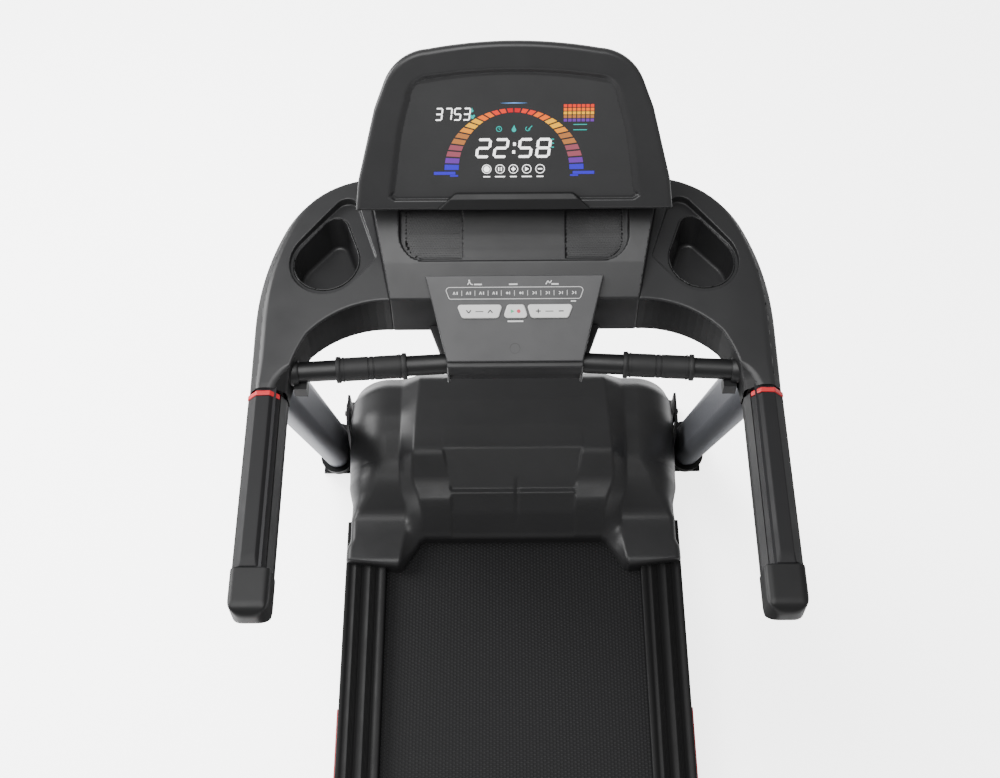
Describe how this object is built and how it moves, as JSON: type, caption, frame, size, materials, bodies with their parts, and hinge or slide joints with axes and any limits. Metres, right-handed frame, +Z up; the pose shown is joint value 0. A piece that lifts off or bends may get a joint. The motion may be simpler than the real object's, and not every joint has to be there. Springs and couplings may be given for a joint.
{
  "type": "folding motorised treadmill",
  "caption": "Folding motorised treadmill: flat belt deck under a motor hood, leaning columns, side handrails with drink wells, crossbar and a tilted display console.",
  "frame": {"origin": "on the floor under the middle of the overall footprint", "axes": "+Y forward from the running deck to the console, +X to the runner's right, +Z up"},
  "size_m": [0.8434, 1.756, 1.3489],
  "materials": {
    "shell_plastic": "satin moulded charcoal plastic with a fine grain",
    "dark_plastic": "fine-grained near-black plastic",
    "display_panel": "smoked glossy display window",
    "overlay_film": "printed membrane film",
    "key_white": "satin white key cap",
    "red_trim": "glossy red trim",
    "column_metal": "silver grey metallic powder coat",
    "black_steel": "black powder-coated steel",
    "bright_steel": "turned and ground steel",
    "belt_rubber": "diamond-textured running belt",
    "soft_rubber": "soft black rubber",
    "board_wood": "waxed fibre board",
    "circuit_board": "green solder mask",
    "mesh_metal": "fine perforated black grille",
    "motor_housing": "painted motor casing",
    "heat_sink": "finned aluminium"
  },
  "bodies": {
    "root": {"arm_end_caps": "dark_plastic", "arm_rings": "red_trim", "arm_shell_left": "shell_plastic", "arm_shell_right": "shell_plastic", "arm_tubes": "black_steel", "bar_grips": "soft_rubber", "base_frame": "black_steel", "base_pads": "soft_rubber", "columns": "column_metal", "console_rear_cover": "shell_plastic", "console_tray": "shell_plastic", "crossbar": "black_steel", "cup_holder_left": "dark_plastic", "cup_holder_right": "dark_plastic", "display_bezel": "shell_plastic", "display_board": "circuit_board", "display_lens": "display_panel", "foot_cups": "dark_plastic", "keypad_housing": "shell_plastic", "keypad_overlay": "overlay_film", "lift_motor": "motor_housing", "pivot_brackets": "black_steel", "shoulder_shell_left": "shell_plastic", "shoulder_shell_right": "shell_plastic", "shoulder_underside_left": "dark_plastic", "shoulder_underside_right": "dark_plastic", "speaker_drivers": "dark_plastic", "speaker_grilles": "mesh_metal"},
    "deck": {"belly_pan": "black_steel", "deck_board": "board_wood", "deck_cross_members": "black_steel", "deck_cushions": "soft_rubber", "deck_side_members": "black_steel", "drive_belt": "soft_rubber", "drive_motor": "motor_housing", "motor_controller": "heat_sink", "motor_hood": "shell_plastic", "power_inlet": "dark_plastic", "rear_end_caps": "dark_plastic", "roller_axles": "bright_steel", "roller_bearings": "bright_steel", "running_belt": "belt_rubber", "side_rail_left": "dark_plastic", "side_rail_right": "dark_plastic", "side_trims": "red_trim"},
    "front_roller": {"front_roller": "bright_steel"},
    "front_wheel_left": {"front_wheel_left": "soft_rubber"},
    "front_wheel_right": {"front_wheel_right": "soft_rubber"},
    "incline_key": {"incline_key": "key_white"},
    "lift_cradle": {"lift_cradle": "black_steel"},
    "lift_screw": {"lift_screw": "bright_steel"},
    "motor_rotor": {"motor_rotor": "bright_steel"},
    "power_switch": {"power_switch": "red_trim"},
    "rear_roller": {"rear_roller": "bright_steel"},
    "rear_wheel_left": {"rear_wheel_left": "soft_rubber"},
    "rear_wheel_right": {"rear_wheel_right": "soft_rubber"},
    "speed_key": {"speed_key": "key_white"},
    "start_stop_key": {"start_stop_key": "key_white"},
    "strut_cylinder": {"strut_cylinder": "black_steel"},
    "strut_rod": {"strut_rod": "bright_steel"}
  },
  "joints": [
    {"name": "incline", "type": "hinge", "parent": "root", "child": "lift_cradle", "pos_m": [0, -0.7, 0.03], "axis": [1, 0, 0], "range_deg": [0, 3.9]},
    {"name": "deck_fold", "type": "hinge", "parent": "lift_cradle", "child": "deck", "pos_m": [0, 0.745, 0.1], "axis": [-1, 0, 0], "range_deg": [0, 58]},
    {"name": "strut_swing", "type": "hinge", "parent": "lift_cradle", "child": "strut_cylinder", "pos_m": [0, 0.64, 0.045], "axis": [-1, 0, 0], "range_deg": [0, 62.5]},
    {"name": "strut_extend", "type": "slide", "parent": "strut_cylinder", "child": "strut_rod", "axis": [0, -1, 0.0069], "range_m": [0, 0.099]},
    {"name": "lift_screw_turn", "type": "hinge", "parent": "root", "child": "lift_screw", "pos_m": [0.15, 0.745, 0.1], "axis": [0, -0.083, 0.9965], "continuous": true},
    {"name": "motor_turn", "type": "hinge", "parent": "deck", "child": "motor_rotor", "pos_m": [-0.2, 0.668, 0.15], "axis": [1, 0, 0], "continuous": true},
    {"name": "front_roller_turn", "type": "hinge", "parent": "deck", "child": "front_roller", "pos_m": [0, 0.56, 0.1307], "axis": [1, 0, 0], "continuous": true},
    {"name": "rear_roller_turn", "type": "hinge", "parent": "deck", "child": "rear_roller", "pos_m": [0, -0.82, 0.1307], "axis": [1, 0, 0], "continuous": true},
    {"name": "front_wheel_left_turn", "type": "hinge", "parent": "root", "child": "front_wheel_left", "pos_m": [-0.363, 0.852, 0.026], "axis": [1, 0, 0], "continuous": true},
    {"name": "front_wheel_right_turn", "type": "hinge", "parent": "root", "child": "front_wheel_right", "pos_m": [0.363, 0.852, 0.026], "axis": [1, 0, 0], "continuous": true},
    {"name": "rear_wheel_left_turn", "type": "hinge", "parent": "deck", "child": "rear_wheel_left", "pos_m": [-0.316, -0.7, 0.03], "axis": [1, 0, 0], "continuous": true},
    {"name": "rear_wheel_right_turn", "type": "hinge", "parent": "deck", "child": "rear_wheel_right", "pos_m": [0.316, -0.7, 0.03], "axis": [1, 0, 0], "continuous": true},
    {"name": "incline_key_rock", "type": "hinge", "parent": "root", "child": "incline_key", "pos_m": [-0.0535, 0.43994, 1.03546], "axis": [0, 0.8771, 0.4802], "range_deg": [-4, 4], "stiffness_Nm_per_rad": 0.05},
    {"name": "start_stop_key_rock", "type": "hinge", "parent": "root", "child": "start_stop_key", "pos_m": [0.0015, 0.43994, 1.03546], "axis": [0, 0.8771, 0.4802], "range_deg": [-4, 4], "stiffness_Nm_per_rad": 0.05},
    {"name": "speed_key_rock", "type": "hinge", "parent": "root", "child": "speed_key", "pos_m": [0.054, 0.43994, 1.03546], "axis": [0, 0.8771, 0.4802], "range_deg": [-4, 4], "stiffness_Nm_per_rad": 0.05},
    {"name": "power_switch_rock", "type": "hinge", "parent": "deck", "child": "power_switch", "pos_m": [-0.18, 0.818, 0.15], "axis": [-1, 0, 0], "range_deg": [0, 14]}
  ],
  "couplings": [
    {"joint": "strut_swing", "follows": "deck_fold", "ratio": 1.0755},
    {"joint": "strut_extend", "follows": "deck_fold", "m_per_rad": 0.097628},
    {"joint": "front_roller_turn", "follows": "motor_turn", "ratio": 0.34884},
    {"joint": "rear_roller_turn", "follows": "motor_turn", "ratio": 0.34884}
  ]
}
